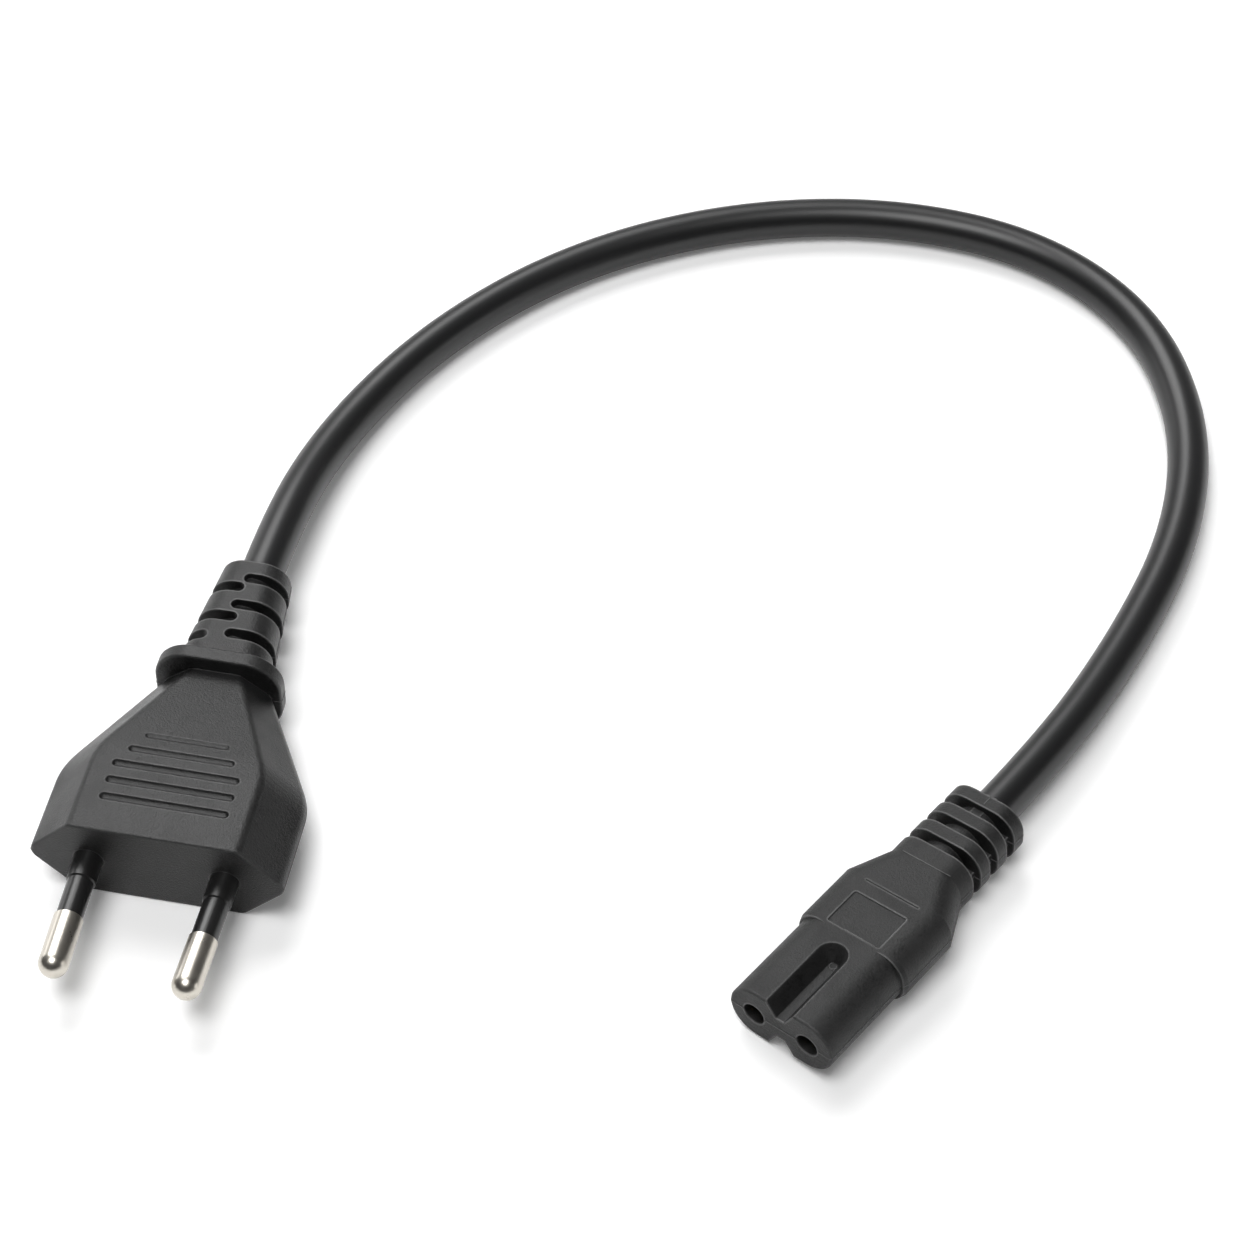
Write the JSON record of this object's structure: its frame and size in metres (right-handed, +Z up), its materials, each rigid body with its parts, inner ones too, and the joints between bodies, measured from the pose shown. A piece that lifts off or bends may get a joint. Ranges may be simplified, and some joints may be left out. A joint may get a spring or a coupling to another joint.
{
  "type": "power cord",
  "caption": "Short black power cord: flat mains plug with round pins, round sheathed cord, figure-8 appliance connector.",
  "frame": {"origin": "middle of the plug's pin face, halfway between the two pins", "axes": "+Y from the pins through the plug into the cord, +X across the pins, +Z up from the surface that the cord lies on"},
  "size_m": [0.1516, 0.1765, 0.0138],
  "materials": {
    "moulding": "fine-grained soft PVC",
    "sheath": "smooth semi-gloss PVC",
    "pin_sleeve": "smooth hard plastic",
    "nickel_pin": "nickel-plated brass",
    "hard_insulator": "moulded",
    "brown_core": "extruded",
    "blue_core": "extruded",
    "copper": "bare stranded copper",
    "brass_contact": "rolled sheet"
  },
  "bodies": {
    "root": {"plug_body": "moulding", "pin_bridge": "hard_insulator", "pin_left": "nickel_pin", "pin_right": "nickel_pin", "pin_sleeve_left": "pin_sleeve", "pin_sleeve_right": "pin_sleeve", "plug_core_brown": "brown_core", "plug_core_blue": "blue_core", "plug_strands_left": "copper", "plug_strands_right": "copper", "cord": "sheath", "connector_body": "moulding", "contact_carrier": "hard_insulator", "contact_left": "brass_contact", "contact_right": "brass_contact", "connector_core_brown": "brown_core", "connector_core_blue": "blue_core", "connector_strands_left": "copper", "connector_strands_right": "copper"}
  },
  "joints": []
}
